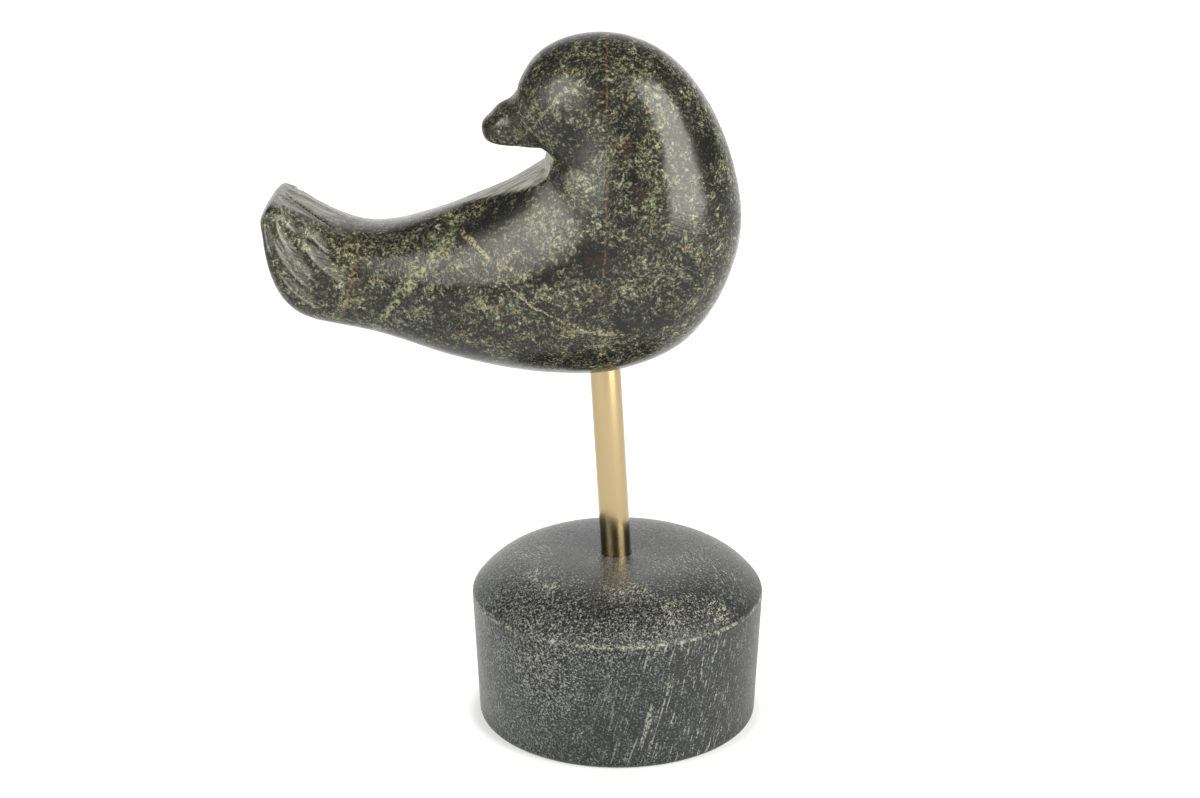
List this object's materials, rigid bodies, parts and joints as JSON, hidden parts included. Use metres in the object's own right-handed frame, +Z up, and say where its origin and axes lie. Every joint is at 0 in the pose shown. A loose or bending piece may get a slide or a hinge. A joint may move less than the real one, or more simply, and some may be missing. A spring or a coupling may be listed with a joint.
{
  "type": "bird figurine",
  "caption": "Smooth carved dark green stone bird looking back over its tail, carried by a slim brass rod above a round grey stone plinth with a domed top.",
  "frame": {"origin": "centre of the plinth's flat underside", "axes": "+Z up; the bird's plane of symmetry is the XZ plane, with its tail and its beak towards -X and its breast towards +X"},
  "size_m": [0.1611, 0.0966, 0.2318],
  "materials": {
    "bird_stone": "polished mottled dark green serpentine",
    "brass": "satin drawn brass",
    "plinth_stone": "honed dark grey soapstone"
  },
  "bodies": {
    "root": {"bird": "bird_stone", "rod": "brass", "plinth": "plinth_stone"}
  },
  "joints": []
}
